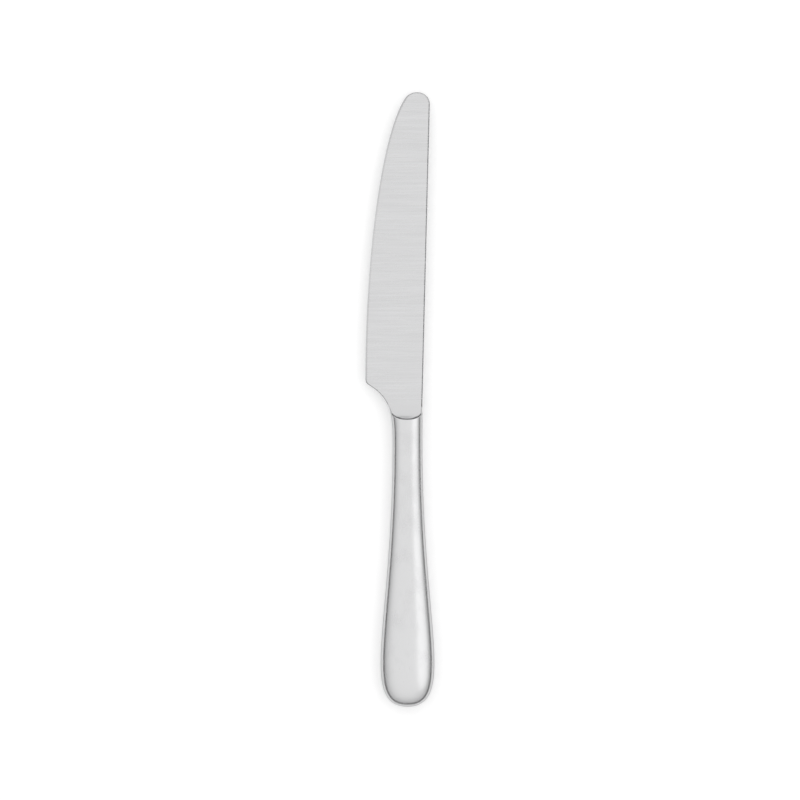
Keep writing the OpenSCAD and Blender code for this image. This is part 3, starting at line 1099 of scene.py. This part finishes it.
# %% [markdown]
# ## Floor and light
#
# The knife lies on a plain white floor. A little light that only the camera and reflections see
# lifts the floor to white, while the rest of its brightness comes from sky and lamp and so keeps
# the shadow. The sky of the studio is bright overhead and dark just above the horizon: a flat
# polished side mirrors the bright part, and a round side runs through all of it, which is what
# shows its form. In front of the tip the bright part comes further down. The bolster's hollow faces
# that way and mirrors it, so it looks as light as the blade, and the joint stands out as one dark
# line.

# %% Floor
FLOOR_GREY, FLOOR_LIFT = 0.8, 0.3
floor_side, floor_gap = 3.0, 0.01 * MM


def make_floor_finish():
    material = bpy.data.materials.new("studio_floor")
    material.use_nodes = True
    tree = material.node_tree
    tree.nodes.clear()
    matt = tree.nodes.new("ShaderNodeBsdfDiffuse")
    matt.inputs["Color"].default_value = (FLOOR_GREY, FLOOR_GREY, FLOOR_GREY, 1)
    seen = tree.nodes.new("ShaderNodeLightPath")
    camera_ray, glossy_ray, clear_ray = (
        Num(tree, seen.outputs[f"Is {kind} Ray"]) for kind in ("Camera", "Glossy", "Transmission"))
    level = camera_ray.op("MAXIMUM", glossy_ray).op("MAXIMUM", clear_ray) * FLOOR_LIFT
    glow = tree.nodes.new("ShaderNodeEmission")
    feed(tree, level, glow.inputs["Strength"])
    both = tree.nodes.new("ShaderNodeAddShader")
    end = tree.nodes.new("ShaderNodeOutputMaterial")
    tree.links.new(matt.outputs[0], both.inputs[0])
    tree.links.new(glow.outputs[0], both.inputs[1])
    tree.links.new(both.outputs[0], end.inputs["Surface"])
    return material


def make_floor():
    mesh = bpy.data.meshes.new("studio_floor")
    side, low = floor_side, cad_low.z - floor_gap
    corners = [(-side, -side, low), (side, -side, low), (side, side, low), (-side, side, low)]
    mesh.from_pydata(corners, [], [(0, 1, 2, 3)])
    mesh.materials.append(make_floor_finish())
    return add_object("studio_floor", mesh)


make_floor()
print("floor at z", round(cad_low.z, 5))

# %% Sky of the studio
SKY_LEVELS = ((0.18, 0.06), (0.4, 0.7), (0.97, 1.12))
FRONT_GLOW, FRONT_FROM, FRONT_SOFT = 0.75, 0.03, 0.2


def make_sky():
    world = bpy.data.worlds.new("studio_sky")
    bpy.context.scene.world = world
    world.use_nodes = True
    tree = world.node_tree
    tree.nodes.clear()
    way = tree.nodes.new("ShaderNodeTexCoord")
    split = tree.nodes.new("ShaderNodeSeparateXYZ")
    tree.links.new(way.outputs["Generated"], split.inputs[0])
    front, height_up = (Num(tree, split.outputs[i]).clamp() for i in (1, 2))
    lifted = height_up + FRONT_GLOW * front * ((height_up - FRONT_FROM) / FRONT_SOFT).clamp()
    ramp = tree.nodes.new("ShaderNodeValToRGB")
    ramp.color_ramp.interpolation = "EASE"
    ramp.color_ramp.elements.new(SKY_LEVELS[1][0])
    for element, (place, level) in zip(ramp.color_ramp.elements, SKY_LEVELS):
        element.position, element.color = place, (level, level, level, 1)
    feed(tree, lifted, ramp.inputs[0])
    sky = tree.nodes.new("ShaderNodeBackground")
    end = tree.nodes.new("ShaderNodeOutputWorld")
    tree.links.new(ramp.outputs[0], sky.inputs["Color"])
    tree.links.new(sky.outputs[0], end.inputs["Surface"])
    return world


print("sky:", make_sky().name)

# %% Key lamp
lamp_place, lamp_size, lamp_watts = Vector((0.8, -0.15, 1.1)), 1.0, 0.9
lamp_data = bpy.data.lights.new("key_lamp", "AREA")
lamp_data.shape, lamp_data.size, lamp_data.energy = "DISK", lamp_size, lamp_watts
lamp = add_object("key_lamp", lamp_data)
lamp.location = lamp_place
lamp.rotation_euler = (-lamp_place).to_track_quat("-Z", "Y").to_euler()
print("key lamp:", lamp_watts, "W")

# %% [markdown]
# ## Camera
#
# The picture looks straight down on the flat side of the blade, with the tip at the top. A long
# lens keeps the view almost parallel, and its height follows from how many millimetres the picture
# spans.

# %% Camera
PICTURE = 800
LENS = 135
PIXELS_PER_MM = 614.5 / 206.0
centre_px = (399.93, 399.48)

camera_data = bpy.data.cameras.new("camera")
camera_data.lens = LENS
camera = add_object("camera", camera_data)
span = PICTURE / PIXELS_PER_MM * MM
distance = span * camera_data.lens / camera_data.sensor_width
shift_x, shift_y = ((PICTURE / 2 - px) / PIXELS_PER_MM * MM for px in centre_px)
camera.location = (shift_x, -shift_y, middle_z + distance)
bpy.context.scene.camera = camera
bpy.context.scene.view_settings.view_transform = "Standard"
print("camera height:", round(distance, 3), "m")
